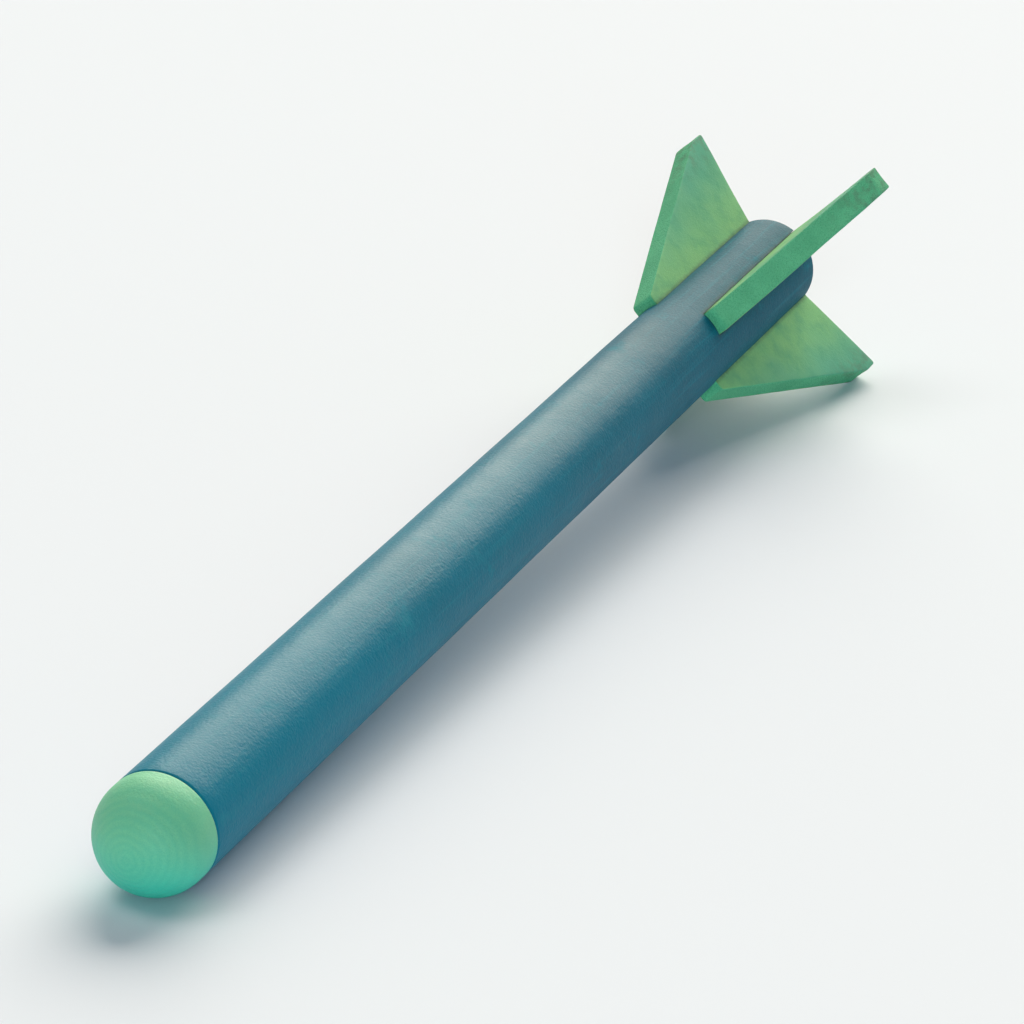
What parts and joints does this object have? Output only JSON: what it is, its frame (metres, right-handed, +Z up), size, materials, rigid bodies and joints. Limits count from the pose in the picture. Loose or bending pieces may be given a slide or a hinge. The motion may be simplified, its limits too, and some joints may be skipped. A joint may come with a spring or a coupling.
{
  "type": "foam javelin",
  "caption": "Soft throwing javelin: a straight foam tube with a domed foam nose plugged into its front and swept flat foam fins seated in slots at its tail.",
  "frame": {"origin": "on the floor that the nose and the tips of the two lower fins rest on, under the middle of the overall length and width", "axes": "+X along the length towards the nose, +Z up, with the tube's axis rising about 2.7 degrees towards the tail"},
  "size_m": [0.9216, 0.1436, 0.144],
  "materials": {
    "tube_foam": "closed-cell polyethylene foam with a smooth satin extruded skin, blue",
    "nose_foam": "soft matt moulded foam, light green",
    "fin_foam": "matt closed-cell foam sheet with fine open cells on its cut edges, light green"
  },
  "bodies": {
    "root": {"foam_tube": "tube_foam", "nose_dome": "nose_foam", "tail_fin_1": "fin_foam", "tail_fin_2": "fin_foam", "tail_fin_3": "fin_foam", "tail_fin_4": "fin_foam"}
  },
  "joints": []
}
